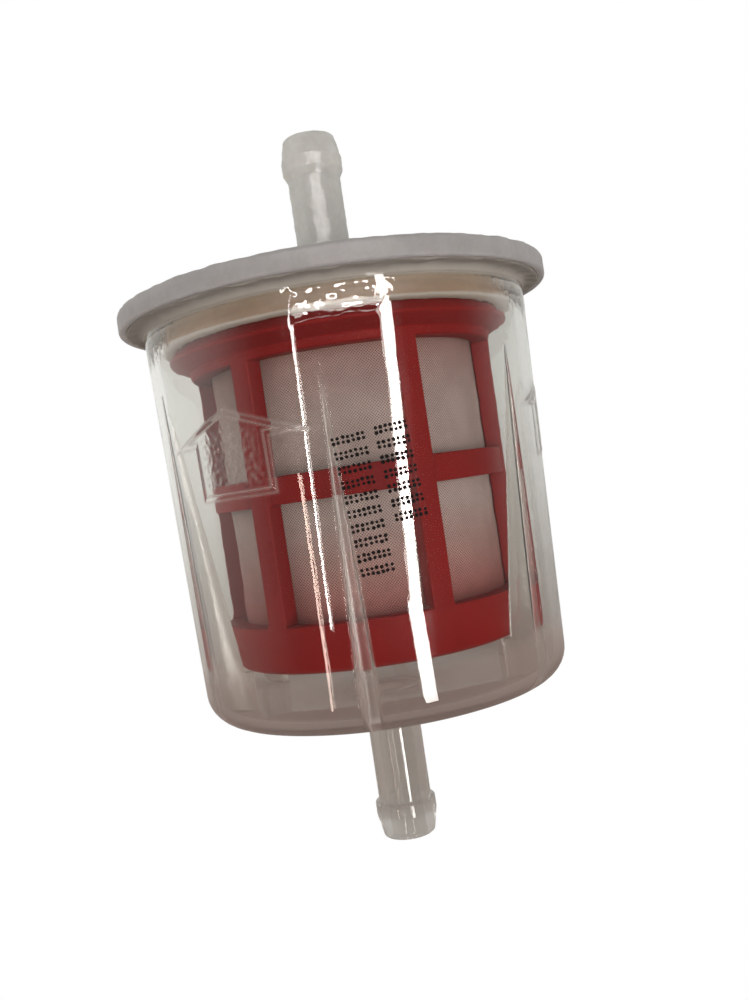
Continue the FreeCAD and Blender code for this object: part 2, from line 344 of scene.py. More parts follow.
def blade_edge(height):
    """Radius of a blade's inner edge at a height."""
    if height < CUP_BOTTOM:
        return SEAT_EDGE
    share = (BLADE_TOP - height) / (BLADE_TOP - CUP_BOTTOM)
    top = wall_radius(BLADE_TOP) - WALL
    return top + (BLADE_EDGE - top) * share


def blade_half_width(height):
    """Half the blade's thickness at a height."""
    share = min(1.0, max(0.0, (BLADE_TOP - height) / (BLADE_TOP - CUP_BOTTOM)))
    return (BLADE_TIP_WIDTH + (BLADE_WIDTH - BLADE_TIP_WIDTH) * share) / 2


def bowl_outside():
    """Outer path from the tail's end face up to the mouth, with close rows across the arrows."""
    barb_foot = TAIL_END + TAPER + LAND
    corners = [
        (END_RADIUS - 0.6, TAIL_END, 0),
        (END_RADIUS, TAIL_END, 0.35),
        (BARB_RADIUS, TAIL_END + TAPER, 0.6),
        (BARB_RADIUS, barb_foot, 0.12),
        (NECK_RADIUS, barb_foot + 0.5, 0.15),
        (NECK_RADIUS, BASE - BASE_DROP, 0.9),
        (wall_radius(BASE), BASE, CORNER),
        (MOUTH_RADIUS, FLANGE_BOTTOM, 0.9),
        (FLANGE_RADIUS, FLANGE_BOTTOM, 0.2),
        (FLANGE_RADIUS, MOUTH_TOP - SEAM_GAP, 0.2),
        (wall_radius(MOUTH_TOP) - WALL + 0.4, MOUTH_TOP - SEAM_GAP, 0),
    ]
    margin = 0.5
    arrow_low = ARROW_FOOT - margin
    arrow_high = ARROW_TIP + margin
    arrow_step, weld_step, plain_step = 0.21, 0.8, 5.0

    def row_step(height):
        """Longest stretch between rows: short over the arrows and fairly short at the weld."""
        if arrow_low < height < arrow_high:
            return arrow_step
        return weld_step if height > WELD_LOW else plain_step

    path = rounded(corners)
    split = []
    for start, end in zip(path, path[1:]):
        split.append(start)
        if start[1] < arrow_low < arrow_high < end[1]:
            for height in (arrow_low, arrow_high, WELD_LOW):
                split.append(np.array((wall_radius(height), height)))
    split.append(path[-1])
    return spread(split, row_step)


def bowl_inside():
    """Inner path from the mouth down the wall, over the floor and through the bore."""
    ledge = 0.15
    corners = [
        (wall_radius(MOUTH_TOP) - WALL, MOUTH_TOP - SEAM_GAP, 0.3),
        (wall_radius(BLADE_TOP + 0.5) - WALL, BLADE_TOP + 0.5, 0),
        (wall_radius(BLADE_TOP) - WALL, BLADE_TOP, 0),
        (wall_radius(CUP_BOTTOM) - WALL, CUP_BOTTOM, 0),
        (wall_radius(CUP_BOTTOM - ledge) - WALL, CUP_BOTTOM - ledge, 0),
        (wall_radius(FLOOR) - WALL, FLOOR, INNER_CORNER),
        (SEAT_EDGE, FLOOR - BASE_DROP * (1 - SEAT_EDGE / wall_radius(FLOOR)), 0),
        (BORE_RADIUS, FLOOR - BASE_DROP, 0.5),
        (BORE_RADIUS, TAIL_END, 0.2),
    ]
    # the outer path's first point only steers the bore's last fillet
    path = rounded(corners + [(END_RADIUS - 0.6, TAIL_END, 0)])[:-1]
    return spread(path, lambda height: 5.0)


def outer_rings(azimuth):
    """Rings of the bowl's outer skin, and the frost of each of their points."""
    path = bowl_outside()
    level = path[:, 1:]
    radius = path[:, :1] * np.ones(azimuth.shape)
    height = level * np.ones(azimuth.shape)
    raised, frosted = arrow_relief(azimuth, height)
    on_wall = (level > ARROW_FOOT - 1) & (level < ARROW_TIP + 1)
    radius = radius + np.where(on_wall, raised, 0)
    # welding the lid on has left the top of the wall and the flange's underside a little wavy
    weld = ripple(5, 12, 5.0, 1.2)
    wall_wave, flange_wave = 0.015, 0.11
    wall_reach, flange_reach = 3.0, 1.2
    near_weld = np.clip((level - WELD_LOW) / wall_reach, 0, 1)
    near_flange = np.clip(1 - np.abs(level - FLANGE_BOTTOM) / flange_reach, 0, 1)
    radius = radius + wall_wave * near_weld * wrapped(weld, azimuth, MOUTH_RADIUS, height)
    height = height + flange_wave * near_flange * wrapped(weld, azimuth, MOUTH_RADIUS, radius)
    rings = [around(azimuth, radius[row], height[row]) for row in range(len(path))]
    return rings, np.where(on_wall, frosted, 0).ravel()


def inner_rings(azimuth, blade, side, foot, share):
    """Rings of the bowl's inner skin, drawn in at the blades, and the frost of their points."""
    plain = around(azimuth, 1.0, 0.0)
    on_blade = ~np.isnan(blade)[:, None]
    turned = np.radians(np.nan_to_num(blade))
    # the floor is hazy near the throat, and so are the blades' edges where they stand out
    throat_reach, throat_frost = 11.0, 0.35
    blade_frost, least_depth = 0.22, 0.3
    rings = []
    frost = []
    for wall, level in bowl_inside():
        depth = max(0.0, wall - blade_edge(level))
        ring = plain * wall
        between_seat_and_tips = wall >= SEAT_EDGE + 0.01 and level <= BLADE_TOP + 0.4
        if between_seat_and_tips:
            lateral = np.clip(side * blade_half_width(level) + foot, -BLADE_FOOT, BLADE_FOOT)
            on_wall = np.sqrt(np.maximum(wall**2 - lateral**2, 0))
            radial = (1 - share) * on_wall + share * (wall - depth)
            bladed = np.stack(
                [
                    lateral * np.cos(turned) + radial * np.sin(turned),
                    lateral * np.sin(turned) - radial * np.cos(turned),
                    np.zeros(len(azimuth)),
                ],
                axis=-1,
            )
            ring = np.where(on_blade, bladed, ring)
        rings.append(ring + np.array((0, 0, level)))
        throat = max(0.0, 1 - (wall - BORE_RADIUS) / throat_reach) * (level > BASE - BASE_DROP)
        frost.append(throat_frost * throat + blade_frost * share * (depth > least_depth))
    return rings, np.concatenate(frost)


def make_bowl(material):
    """Clear bowl as one closed skin: tail, wall, flange and arrows outside, blades inside."""
    azimuth, blade, side, foot, share = bowl_columns()
    outer, outer_frost = outer_rings(azimuth)
    inner, inner_frost = inner_rings(azimuth, blade, side, foot, share)
    rings = outer + inner
    points = np.concatenate(rings)
    faces = ring_faces(len(rings), len(azimuth))
    frost = np.concatenate([outer_frost, inner_frost])
    return new_piece("bowl_shell", points, faces, material, frost=frost)


# ---------------------------------------------------------------- lid


def lid_corners(rim_top, boss_top):
    """Corners of the lid's section, from the bore out over the skirt, rim, boss and tail."""
    rim_bottom = MOUTH_TOP - 1.4
    lip_inner = FLANGE_RADIUS + 0.15
    skirt_radius, skirt_bore = 27.0, 24.6
    boss_radius, boss_foot = 6.5, rim_top + 1.0
    barb_top = OUTLET_END - TAPER
    barb_foot = barb_top - LAND
    return [
        (BORE_RADIUS, MOUTH_TOP, 0.3),
        (skirt_bore, MOUTH_TOP, 0.4),
        (skirt_bore, SKIRT_BOTTOM, 0.2),
        (skirt_radius, SKIRT_BOTTOM, 0.4),
        (skirt_radius, MOUTH_TOP, 0.15),
        (lip_inner, MOUTH_TOP, 0.1),
        (lip_inner, rim_bottom, 0.1),
        (RIM_RADIUS, rim_bottom, 0.4),
        (RIM_RADIUS, rim_top, 0.7),
        (boss_radius, boss_foot, 0.8),
        (boss_radius, boss_top, 0.4),
        (NECK_RADIUS, boss_top, 0.8),
        (NECK_RADIUS, barb_foot - 1.2, 0.4),
        (BARB_RADIUS, barb_foot, 0.25),
        (BARB_RADIUS, barb_top, 1.5),
        (END_RADIUS, OUTLET_END, 0.5),
        (BORE_RADIUS, OUTLET_END, 0.25),
    ]


def make_lid(material):
    """Milky lid: crowned plate, lip over the flange, skirt in the mouth, boss and outlet tail."""
    rim_top = MOUTH_TOP + 1.5
    boss_top = rim_top + 2.2
    tail_foot = boss_top + 1.0
    tail_step, plain_step = 0.4, 1.6
    path = spread(
        rounded(lid_corners(rim_top, boss_top)),
        lambda height: tail_step if height > tail_foot else plain_step,
        closed=True,
    )
    columns = 300
    azimuth = np.arange(columns) * 360 / columns
    # the rim's upper edge wanders a little, and the outside of the tail is faintly dimpled
    swell = ripple(3, 12, 7.0, 1.6)
    dimples = ripple(8, 18, 2.4, 0.9)
    rim_wander, dimple_depth = 0.05, 0.03
    rings = []
    for radius, height in path:
        on_rim_edge = radius > RIM_RADIUS - 1.6 and height > rim_top - 1.2
        on_tail = height > tail_foot and radius > BORE_RADIUS + 0.5
        wander = 0.0
        if on_rim_edge:
            wander = rim_wander * wrapped(swell, azimuth, RIM_RADIUS, radius + height)
        if on_tail:
            radius = radius + dimple_depth * wrapped(dimples, azimuth, radius, height)
        rings.append(around(azimuth, radius + wander / 2, height + wander))
    return new_piece("lid_shell", np.concatenate(rings), ring_faces(len(rings), columns), material)


# ---------------------------------------------------------------- strainer cage


def cage_rows():
    """Rows of the cage from its base up: (height, hoop radius, outer radius)."""
    rows = []
    shoulder, lip_wall, longest_step = 0.6, 0.4, 2.5
    arc_steps = 5
    for step in range(arc_steps + 1):
        angle = math.pi / 2 * step / arc_steps
        outer = CUP_BASE_RADIUS - CUP_CORNER * (1 - math.sin(angle))
        height = CUP_BOTTOM + CUP_CORNER * (1 - math.cos(angle))
        rows.append((height, (CAGE_BORE + outer) / 2, outer))
    slope = (CUP_LIP_RADIUS - CUP_BASE_RADIUS) / (CUP_TOP - CUP_BOTTOM)
    middle = CUP_FLOOR + 2.3
    for height in (CUP_FLOOR, middle, CUP_TOP - shoulder, CUP_TOP):
        outer = CUP_BASE_RADIUS + slope * (height - CUP_BOTTOM)
        rows.append((height, min(HOOP_RADIUS, outer - lip_wall), outer))
    levels = (CUP_TOP + shoulder, HOOP_BOTTOM, HOOP_TOP, WINDOW_TOP)
    for low, high in zip(levels, levels[1:]):
        count = max(3, round((high - low) / longest_step))
        for step in range(count):
            rows.append((low + (high - low) * step / count, HOOP_RADIUS, BAR_RADIUS))
    cone_hoop = HOOP_RADIUS - 0.3
    rows.append((WINDOW_TOP, HOOP_RADIUS, BAR_RADIUS))
    rows.append((WINDOW_TOP + shoulder, HOOP_RADIUS, RING_RADIUS))
    rows.append((RING_NECK, HOOP_RADIUS, RING_RADIUS))
    rows.append((LIP_HEIGHT, HOOP_RADIUS, LIP_RADIUS))
    rows.append((LIP_HEIGHT + LIP_EDGE, HOOP_RADIUS, LIP_RADIUS))
    rows.append(((LIP_HEIGHT + CONE_TOP) / 2, cone_hoop, (LIP_RADIUS + CONE_RADIUS) / 2))
    rows.append((CONE_TOP, cone_hoop, CONE_RADIUS))
    return rows


def cage_azimuth(column, bar_columns, window_columns, radius):
    """Azimuth of a column at a radius: bar flanks are parallel planes, windows lie between."""
    sector, place = divmod(column, bar_columns + window_columns)
    flank = math.degrees(math.asin(min(1.0, BAR_HALF / max(radius, BAR_HALF))))
    if place <= bar_columns:
        lateral = BAR_HALF * (2 * place / bar_columns - 1)
        local = math.degrees(math.asin(lateral / max(radius, BAR_HALF)))
    else:
        share = (place - bar_columns) / window_columns
        local = flank + (360 / BARS - 2 * flank) * share
    return BAR_AZIMUTH + sector * 360 / BARS + local


def cell_sides(c, r, s):
    """The four corners of each side of a cell, keyed by the step to the cell beyond that side."""
    return {
        (-1, 0, 0): [(c, r, s), (c, r + 1, s), (c, r + 1, s + 1), (c, r, s + 1)],
        (1, 0, 0): [(c + 1, r, s), (c + 1, r, s + 1), (c + 1, r + 1, s + 1), (c + 1, r + 1, s)],
        (0, -1, 0): [(c, r, s), (c, r, s + 1), (c + 1, r, s + 1), (c + 1, r, s)],
        (0, 1, 0): [(c, r + 1, s), (c + 1, r + 1, s), (c + 1, r + 1, s + 1), (c, r + 1, s + 1)],
        (0, 0, -1): [(c, r, s), (c + 1, r, s), (c + 1, r + 1, s), (c, r + 1, s)],
        (0, 0, 1): [(c, r, s + 1), (c, r + 1, s + 1), (c + 1, r + 1, s + 1), (c + 1, r, s + 1)],
    }


def soften_edges(piece, radius):
    """Gives a piece's sharp edges a small moulded radius."""
    soften = piece.modifiers.new("moulded_radius", "BEVEL")
    soften.width = radius * MM
    soften.segments = 3
    soften.limit_method = "ANGLE"
    soften.angle_limit = math.radians(38)
    soften.use_clamp_overlap = False


def make_cage(material):
    """Strainer cage as one closed skin round its filled cells, with small moulded radii.

    Cells lie between rows, columns and three layers: floor, hoops, and bars with ring and cup."""
    bar_columns, window_columns = 4, 14
    sector = bar_columns + window_columns
    columns = sector * BARS
    rows = cage_rows()
    layers = [(0.0, CAGE_BORE, hoop, outer) for _, hoop, outer in rows]

    def filled(column, row, layer):
        """True if the cage has material in the cell."""
        if not (0 <= row < len(rows) - 1 and 0 <= layer < 3):
            return False
        middle = (rows[row][0] + rows[row + 1][0]) / 2
        is_bar = column % sector < bar_columns
        if layer == 0:
            return middle < CUP_FLOOR
        if middle < CUP_TOP or middle > WINDOW_TOP or is_bar:
            return True
        return layer == 1 and HOOP_BOTTOM < middle < HOOP_TOP

    def number(column, row, layer):
        """Index of the point at a crossing of the cell lines."""
        return (row * columns + column % columns) * 4 + layer

    points = []
    for row, (height, _, _) in enumerate(rows):
        for column in range(columns):
            for radius in layers[row]:
                azimuth = cage_azimuth(column, bar_columns, window_columns, radius)
                points.append(around(azimuth, radius, height))

    faces = []
    for row in range(len(rows) - 1):
        for column in range(columns):
            for layer in range(3):
                if not filled(column, row, layer):
                    continue
                for (turn, climb, outwards), corners in cell_sides(column, row, layer).items():
                    in_bore = layer == 0 and outwards == -1
                    beyond = ((column + turn) % columns, row + climb, layer + outwards)
                    if not in_bore and not filled(*beyond):
                        faces.append([number(*corner) for corner in corners])
    used = sorted({index for face in faces for index in face})
    renumber = {old: new for new, old in enumerate(used)}
    faces = [[renumber[index] for index in face] for face in faces]
    cage = new_piece("cage_moulding", [points[index] for index in used], faces, material)
    soften_edges(cage, 0.22)
    return cage


# ---------------------------------------------------------------- woven sleeve


def make_sleeve(material):
    """Woven sleeve: a thin sheet that bows a little inwards between the cage's bars."""
    columns, levels = 300, 90
    azimuth = np.arange(columns) * 360 / columns
    drape = ripple(21, 10, 26.0, 7.0)
    low, high = sleeve_low.z, sleeve_high.z
    pitch = 360 / BARS
    thickness, skin_gap = 0.12, 0.02
    mean_bow, bow_change = 0.3, 0.22
    bar_reach, bow_reach = 4.5, 14.0
    from_bar = np.abs((azimuth - BAR_AZIMUTH + pitch / 2) % pitch - pitch / 2)
    in_window = np.clip((from_bar - bar_reach) / bow_reach, 0, 1)
    sheet = []
    for level in range(levels + 1):
        height = low + (high - low) * level / levels
        span = (HOOP_BOTTOM, WINDOW_TOP) if height > HOOP_TOP else (CUP_TOP, HOOP_BOTTOM)
        share = (height - span[0]) / (span[1] - span[0])
        free = math.sin(math.pi * min(1, max(0, share)))
        slack = mean_bow + bow_change * wrapped(drape, azimuth, SLEEVE_RADIUS, height)
        sheet.append((SLEEVE_RADIUS - skin_gap - in_window * free * slack, height))
    rings = [around(azimuth, radius, height) for radius, height in sheet]
    rings += [around(azimuth, radius - thickness, height) for radius, height in reversed(sheet)]
    return new_piece("woven_sleeve", np.concatenate(rings), ring_faces(len(rings), columns), material)


# ---------------------------------------------------------------- ink mark


def add_dot(points, faces, azimuth, height, size):
    """Appends one printed dot, a thin disc that follows the bowl's wall."""
    proud, sides = 0.025, 10
    rim = []
    for step in range(sides):
        angle = math.tau * step / sides
        level = height + size * math.sin(angle)
        turn = azimuth + math.degrees(size * math.cos(angle) / wall_radius(level))
        rim.append((turn, level))
    first = len(points)
    for lift in (proud, -proud):
        points += [around(turn, wall_radius(level) + lift, level) for turn, level in rim]
    faces.append([first + step for step in range(sides)])
    faces.append([first + sides + step for step in reversed(range(sides))])
    for step in range(sides):
        beside = (step + 1) % sides
        faces.append([first + step, first + sides + step, first + sides + beside, first + beside])


def make_ink(material):
    """A generic mark on the bowl's wall: two rows of equal dotted bars, set in pairs."""
    chance = random.Random(4)
    bands = [
        {"azimuth": -5.0, "top": 59.9, "bottom": 42.5, "skew": 2.6},
        {"azimuth": 6.1, "top": 60.6, "bottom": 47.7, "skew": 2.4},
    ]
    dots_in_bars = (7, 7, 0)
    bar_pitch, dot_pitch, rise = 0.62, 0.64, 0.05
    dot_radius, stray = 0.23, 0.05
    points, faces = [], []
    for band in bands:
        lines = int((band["top"] - band["bottom"]) / bar_pitch)
        for line in range(lines + 1):
            start = band["azimuth"] + band["skew"] * line / lines
            top = band["top"] - line * bar_pitch
            for dot in range(dots_in_bars[line % len(dots_in_bars)]):
                height = top + dot * rise + chance.uniform(-stray, stray)
                across = dot * dot_pitch + chance.uniform(-stray, stray)
                azimuth = start + math.degrees(across / wall_radius(height))
                add_dot(points, faces, azimuth, height, dot_radius * chance.uniform(0.85, 1.15))
    return new_piece("ink_mark", points, faces, material)


# ---------------------------------------------------------------- node helpers


def grey(value):
    """A neutral colour of one brightness."""
    return (value, value, value)


def new_material(name):
    """A material and its emptied node tree."""
    material = bpy.data.materials.new(name)
    material.use_nodes = True
    tree = material.node_tree
    tree.nodes.clear()
    return material, tree


def add(tree, kind, **inputs):
    """Adds a node. An input is given by its name, or by its number as i0, i1 and so on.

    A socket given as a value is linked, and a name that is a setting of the node is set."""
    node = tree.nodes.new(kind)
    for key, value in inputs.items():
        if hasattr(node, key) and key not in node.inputs:
            setattr(node, key, value)
            continue
        numbered = key[0] == "i" and key[1:].isdigit()
        socket = node.inputs[int(key[1:])] if numbered else node.inputs[key]
        if isinstance(value, bpy.types.NodeSocket):
            tree.links.new(value, socket)
        else:
            socket.default_value = value
    return node


def finish_material(tree, surface):
    """Links a shader to the material's output."""
    add(tree, "ShaderNodeOutputMaterial", Surface=surface)


def object_place(tree):
    """The point being shaded, in the object's own metres."""
    return add(tree, "ShaderNodeTexCoord").outputs["Object"]


def noise(tree, vector, scale, detail=2.0, roughness=0.5):
    """Noise of a scale given in lumps per metre."""
    node = add(
        tree, "ShaderNodeTexNoise", Vector=vector, Scale=scale, Detail=detail, Roughness=roughness
    )
    return node.outputs["Fac"]


def bump(tree, height, strength, distance, normal=None):
    """A bump whose distance is in metres, on top of another one if its normal is given."""
    node = add(tree, "ShaderNodeBump", Height=height, Strength=strength, Distance=distance)
    if normal is not None:
        tree.links.new(normal, node.inputs["Normal"])
    return node.outputs["Normal"]


def ramp(tree, factor, stops):
    """A colour ramp through (position, colour) stops."""
    node = add(tree, "ShaderNodeValToRGB", Fac=factor)
    elements = node.color_ramp.elements
    while len(elements) < len(stops):
        elements.new(0.5)
    for element, (position, colour) in zip(elements, stops):
        element.position = position
        element.color = (*colour, 1.0)
    return node.outputs["Color"]


def calculate(tree, operation, *values, clamp=False):
    """The result of a maths node on values or sockets."""
    numbered = {f"i{place}": value for place, value in enumerate(values)}
    node = add(tree, "ShaderNodeMath", operation=operation, use_clamp=clamp, **numbered)
    return node.outputs[0]


def between(tree, value, low, high, smooth=False):
    """How far a value has come from low to high, from 0 to 1."""
    node = add(tree, "ShaderNodeMapRange", Value=value)
    node.interpolation_type = "SMOOTHSTEP" if smooth else "LINEAR"
    node.inputs["From Min"].default_value = low
    node.inputs["From Max"].default_value = high
    return node.outputs[0]


def mix_colours(tree, kind, share, first, second):
    """Two colours mixed in a given way; share 0 is all of the first."""
    node = add(tree, "ShaderNodeMix", data_type="RGBA", blend_type=kind, Factor=share)
    for socket, colour in ((node.inputs[6], first), (node.inputs[7], second)):
        if isinstance(colour, bpy.types.NodeSocket):
            tree.links.new(colour, socket)
        else:
            socket.default_value = (*colour, 1.0)
    return node.outputs[2]


def mix_shaders(tree, share, first, second):
    """Two shaders mixed; share 0 is all of the first."""
    return add(tree, "ShaderNodeMixShader", Fac=share, i1=first, i2=second).outputs[0]


def height_ramps(tree, low, high):
    """A function that makes ramps through (height, colour) stops that lie from low to high."""
    parts = add(tree, "ShaderNodeSeparateXYZ", Vector=object_place(tree))
    level = between(tree, parts.outputs["Z"], low * MM, high * MM)

    def by_height(stops):
        """A ramp up the object through the stops."""
        return ramp(tree, level, [((height - low) / (high - low), colour) for height, colour in stops])

    return by_height


# ---------------------------------------------------------------- materials


def clear_glass(tree, frost, by_height):
    """Polished plastic with faint waves and grain, and ripples under the flange from welding."""
    place = object_place(tree)
    near_weld = by_height([(WELD_LOW + 0.5, grey(0.0)), (FLANGE_BOTTOM - 3.5, grey(1.0))])
    waves = bump(tree, noise(tree, place, 140, 2.0), 0.15, 0.0002)
    ripples = bump(tree, noise(tree, place, 650, 1.0), near_weld, 0.00005, waves)
    grain = bump(tree, noise(tree, place, 2600, 3.0), 0.018, 0.00002, ripples)
    scuffs = ramp(tree, noise(tree, place, 420, 5.0, 0.7), [(0.45, grey(0.02)), (0.75, grey(0.05))])
    rough = calculate(tree, "MULTIPLY_ADD", frost, 0.9, scuffs)
    glass = add(tree, "ShaderNodeBsdfPrincipled", Roughness=rough, IOR=1.49, Normal=grain)
    glass.inputs["Base Color"].default_value = (0.85, 0.845, 0.825, 1)
    glass.inputs["Transmission Weight"].default_value = 1.0
    return glass.outputs[0]


def clear_haze(tree, by_height):
    """Cloudy plastic, browner in the thick base and whiter beside the strainer."""
    colour = by_height(
        [
            (TAIL_END + 5.0, (0.42, 0.40, 0.38)),
            (TAIL_END + 6.5, (0.55, 0.53, 0.50)),
            (BASE - 2.0, (0.50, 0.47, 0.44)),
            (BASE, (0.33, 0.26, 0.235)),
            (CUP_BOTTOM, (0.47, 0.40, 0.37)),
            (CUP_TOP, (0.80, 0.79, 0.76)),
            (FLANGE_BOTTOM - 2.0, (0.60, 0.57, 0.51)),
            (FLANGE_BOTTOM, (0.48, 0.46, 0.42)),
        ]
    )
    lit_from_behind = add(tree, "ShaderNodeBsdfTranslucent", Color=colour)
    lit_from_front = add(tree, "ShaderNodeBsdfDiffuse", Color=colour)
    return mix_shaders(tree, 0.4, lit_from_behind.outputs[0], lit_from_front.outputs[0])


def clear_plastic():
    """Clear moulded plastic: glass to the eye, while lamps and bounced light pass straight in.

    It is clear over the strainer, hazier in the thick base, the tail and the flange, and frosted
    where the mesh says so."""
    material, tree = new_material("clear_plastic")
    by_height = height_ramps(tree, TAIL_END, MOUTH_TOP)
    frost = add(tree, "ShaderNodeAttribute", attribute_name="frost").outputs["Fac"]
    amount = by_height(
        [
            (TAIL_END + 5.0, grey(0.30)),
            (TAIL_END + 6.5, grey(0.12)),
            (BASE - 2.0, grey(0.14)),
            (BASE, grey(0.32)),
            (CUP_BOTTOM - 1.0, grey(0.24)),
            (CUP_BOTTOM + 1.5, grey(0.008)),
            (FLANGE_BOTTOM - 1.2, grey(0.008)),
            (FLANGE_BOTTOM - 0.7, grey(0.97)),
        ]
    )
    share = calculate(tree, "ADD", amount, frost, clamp=True)
    seen = mix_shaders(tree, share, clear_glass(tree, frost, by_height), clear_haze(tree, by_height))
    through = add(tree, "ShaderNodeBsdfTransparent", Color=(0.93, 0.93, 0.915, 1)).outputs[0]
    path = add(tree, "ShaderNodeLightPath")
    unseen = calculate(
        tree, "MAXIMUM", path.outputs["Is Shadow Ray"], path.outputs["Is Diffuse Ray"]
    )
    finish_material(tree, mix_shaders(tree, unseen, seen, through))
    return material


def milky_plastic():
    """One milky plastic that glows a little, painted in lit and shaded tones: the skirt painted tan
    and the rim painted grey as shade, a cream foot, and a glossy tail painted paler as light.
    """
    material, tree = new_material("milky_plastic")
    place = object_place(tree)
    by_height = height_ramps(tree, SKIRT_BOTTOM, OUTLET_END)
    rim_low = MOUTH_TOP - 1.8
    rim_high = MOUTH_TOP + 2.6
    # painted light and shade by height on one plastic: the skirt darkened to tan and the rim to grey
    # as painted shade, the tail brightened as painted light, the foot left cream
    pale = by_height(
        [
            (SKIRT_BOTTOM + 0.1, (0.90, 0.87, 0.79)),
            (SKIRT_BOTTOM + 0.35, (0.50, 0.355, 0.255)),
            (rim_low - 0.6, (0.60, 0.48, 0.37)),
            (rim_low, (0.485, 0.475, 0.475)),
            (rim_high - 1.4, (0.52, 0.51, 0.515)),
            (rim_high, (0.74, 0.74, 0.72)),
        ]
    )
    gloss = by_height([(rim_high, grey(0.45)), (rim_high + 1.0, grey(0.14))])
    cloud = ramp(tree, noise(tree, place, 380, 5.0, 0.75), [(0.35, grey(0.88)), (0.65, grey(1.0))])
    tint = mix_colours(tree, "MULTIPLY", 1.0, pale, cloud)
    lumps = bump(tree, noise(tree, place, 1000, 3.0), 0.8, 0.00012)
    shade = add(tree, "ShaderNodeBsdfPrincipled", Roughness=gloss, IOR=1.5, Normal=lumps)
    tree.links.new(tint, shade.inputs["Base Color"])
    shade.inputs["Subsurface Weight"].default_value = 1.0
    shade.inputs["Subsurface Radius"].default_value = (1.0, 0.95, 0.85)
    shade.inputs["Subsurface Scale"].default_value = 0.004
    glow = add(tree, "ShaderNodeBsdfTranslucent", Color=tint)
    finish_material(tree, mix_shaders(tree, 0.5, shade.outputs[0], glow.outputs[0]))
    return material


def red_plastic():
    """Satin red moulding, slightly uneven from the mould."""
    material, tree = new_material("red_plastic")
    place = object_place(tree)
    flow = noise(tree, place, 70, 3.0)
    tint = ramp(tree, flow, [(0.3, (0.165, 0.004, 0.004)), (0.7, (0.205, 0.006, 0.005))])
    soft = ramp(tree, flow, [(0.3, grey(0.40)), (0.7, grey(0.52))])
    lumps = bump(tree, flow, 0.35, 0.0003)
    specks = bump(tree, noise(tree, place, 3000, 2.0), 0.15, 0.00002, lumps)
    shade = add(tree, "ShaderNodeBsdfPrincipled", Roughness=soft, IOR=1.5, Normal=specks)
    shade.inputs["Specular IOR Level"].default_value = 0.05
    tree.links.new(tint, shade.inputs["Base Color"])
    finish_material(tree, shade.outputs[0])
    return material


def woven_mesh():
    """Fine plain weave, laid on the bias, with small openings between its threads."""
    material, tree = new_material("woven_mesh")
    place = object_place(tree)
    thread_pitch = 0.3
    parts = add(tree, "ShaderNodeSeparateXYZ", Vector=place)
    angle = calculate(tree, "ARCTAN2", parts.outputs["Y"], parts.outputs["X"])
    arc = calculate(tree, "MULTIPLY", angle, SLEEVE_RADIUS * MM)
    threads = []
    for sign in ("ADD", "SUBTRACT"):
        along = calculate(tree, sign, arc, parts.outputs["Z"])
        turns = math.tau / (thread_pitch * MM) / math.sqrt(2)
        threads.append(calculate(tree, "SINE", calculate(tree, "MULTIPLY", along, turns)))
    over = calculate(tree, "MAXIMUM", *threads)
    fibre = ramp(
        tree,
        noise(tree, place, 160, 4.0, 0.6),
        [(0.3, (0.34, 0.255, 0.24)), (0.7, (0.425, 0.33, 0.305))],
    )
    # painted red reflection of the cup at the cloth's lower end, and painted reddish shade under the
    # ring at its upper end
    by_height = height_ramps(tree, CUP_TOP, WINDOW_TOP)
    glow = by_height(
        [
            (CUP_TOP, (0.62, 0.16, 0.15)),
            (CUP_TOP + 6.5, (0.84, 0.58, 0.56)),
            (CUP_TOP + 13.7, grey(1.0)),
            (WINDOW_TOP - 9.0, grey(1.0)),
            (WINDOW_TOP, (0.72, 0.52, 0.50)),
        ]
    )
    tint = mix_colours(tree, "MULTIPLY", 1.0, fibre, glow)
    lumps = bump(tree, over, 0.6, 0.00005)
    cover = ramp(tree, over, [(0.0, grey(0.45)), (0.6, grey(0.95))])
    cloth = add(tree, "ShaderNodeBsdfPrincipled", Roughness=0.7, Alpha=cover, Normal=lumps)
    tree.links.new(tint, cloth.inputs["Base Color"])
    finish_material(tree, cloth.outputs[0])
    return material


def ink():
    """Black printing ink, patchy where a dot dried thin."""
    material, tree = new_material("ink")
    patch = noise(tree, object_place(tree), 5000, 2.0)
    tint = ramp(tree, patch, [(0.35, grey(0.002)), (0.75, (0.012, 0.009, 0.009))])
    shade = add(tree, "ShaderNodeBsdfPrincipled", Roughness=0.8, IOR=1.15)
    tree.links.new(tint, shade.inputs["Base Color"])
    finish_material(tree, shade.outputs[0])
    return material


# ---------------------------------------------------------------- studio


def make_camera():
    """Camera level with the bowl, rolled so that the filter leans to the left."""
    distance, height = 148.0, 53.27
    yaw, pitch, roll = math.radians(0.75), math.radians(-0.74), math.radians(-8.41)
    focal_share = 0.962
    long_side = 36.0
    data = bpy.data.cameras.new("camera")
    data.sensor_width = long_side
    data.lens = long_side * focal_share
    data.clip_start = 0.005
    camera = bpy.data.objects.new("camera", data)
    bpy.context.scene.collection.objects.link(camera)
    forward = Vector(
        (math.sin(yaw) * math.cos(pitch), math.cos(yaw) * math.cos(pitch), math.sin(pitch))
    )
    level = Vector((math.cos(yaw), -math.sin(yaw), 0))
    upright = level.cross(forward)
    right = level * math.cos(roll) + upright * math.sin(roll)
    up = upright * math.cos(roll) - level * math.sin(roll)
    turn = Matrix((right, up, -forward)).transposed().to_4x4()
    camera.matrix_world = Matrix.Translation(Vector((0, -distance, height)) * MM) @ turn
    bpy.context.scene.camera = camera
    return camera


